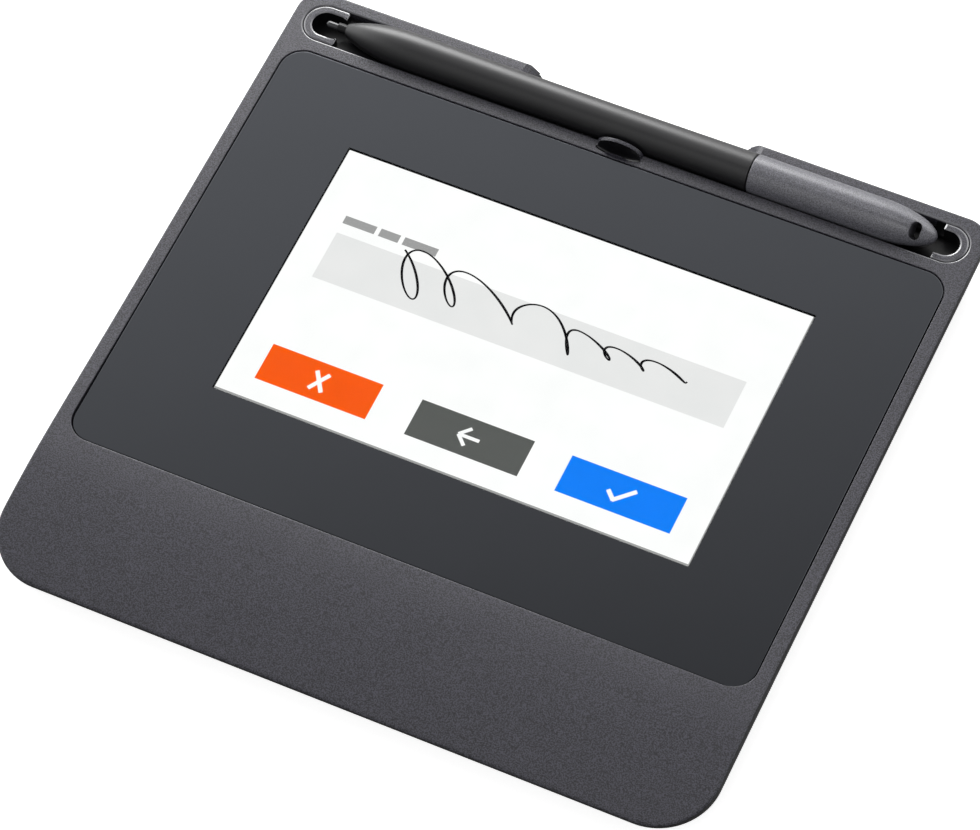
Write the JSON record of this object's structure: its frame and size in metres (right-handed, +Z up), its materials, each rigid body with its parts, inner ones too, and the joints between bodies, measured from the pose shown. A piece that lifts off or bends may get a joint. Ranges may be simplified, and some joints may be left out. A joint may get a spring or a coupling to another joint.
{
  "type": "signature pad",
  "caption": "Flat desktop signature pad: palm rest, flush glass over a small colour display, and a pen lying in a bay behind it.",
  "frame": {"origin": "on the surface the pad stands on, under the middle of the case's width and depth", "axes": "+Z up, +X to the user's right, +Y away from the user, towards the pen bay"},
  "size_m": [0.1612, 0.156, 0.0153],
  "materials": {
    "case_plastic": "fine spark-eroded texture, charcoal",
    "base_plastic": "fine spark-eroded texture, near black",
    "tray_plastic": "satin moulded, charcoal",
    "cover_glass": "etched anti-glare glass with a dark printed border",
    "black_tape": "matt foam tape",
    "display_face": "lit display face",
    "white_plastic": "white moulded light guide frame",
    "bright_steel": "thin pressed sheet",
    "green_board": "solder mask on laminate",
    "black_plastic": "moulded black",
    "cream_plastic": "moulded cream",
    "amber_film": "polyimide film",
    "soft_black": "soft-touch coat, satin black",
    "grey_plastic": "semi-gloss dark grey",
    "ferrite": "pressed ferrite",
    "copper_wire": "enamelled copper winding",
    "nib_plastic": "light grey acetal",
    "screw_steel": "zinc-plated",
    "foot_rubber": "black rubber"
  },
  "bodies": {
    "pad": {"top_case": "case_plastic", "bottom_case": "base_plastic", "pen_tray": "tray_plastic", "cover_glass": "cover_glass", "glass_tape": "black_tape", "display_panel": "display_face", "backlight": "white_plastic", "display_frame": "bright_steel", "sensor_board": "green_board", "shield_plate": "bright_steel", "display_holder": "black_plastic", "main_board": "green_board", "processor": "black_plastic", "sensor_controller": "black_plastic", "memory_chip": "black_plastic", "display_connector": "cream_plastic", "display_flex": "amber_film", "sensor_connector": "cream_plastic", "sensor_flex": "amber_film", "usb_socket": "bright_steel", "usb_tongue": "black_plastic", "case_screw_1": "screw_steel", "case_screw_2": "screw_steel", "case_screw_3": "screw_steel", "case_screw_4": "screw_steel", "case_screw_5": "screw_steel", "case_screw_6": "screw_steel", "holder_screw_1": "screw_steel", "holder_screw_2": "screw_steel", "holder_screw_3": "screw_steel", "holder_screw_4": "screw_steel", "tray_screw_1": "screw_steel", "tray_screw_2": "screw_steel", "board_screw_1": "screw_steel", "board_screw_2": "screw_steel", "board_screw_3": "screw_steel", "board_screw_4": "screw_steel", "foot_1": "foot_rubber", "foot_2": "foot_rubber", "foot_3": "foot_rubber", "foot_4": "foot_rubber"},
    "pen": {"pen_barrel": "soft_black", "pen_cap": "grey_plastic", "nib_collar": "black_plastic", "ferrite_core": "ferrite", "coil": "copper_wire", "core_holder": "cream_plastic", "pressure_sensor": "black_plastic", "pen_board": "green_board"},
    "nib": {"nib": "nib_plastic"}
  },
  "joints": [
    {"name": "pen_lift", "type": "slide", "parent": "pad", "child": "pen", "axis": [0, 0, 1], "range_m": [0, 0.03]},
    {"name": "nib_press", "type": "slide", "parent": "pen", "child": "nib", "axis": [1, 0, 0], "range_m": [0, 0.0005], "stiffness_N_per_m": 400}
  ]
}
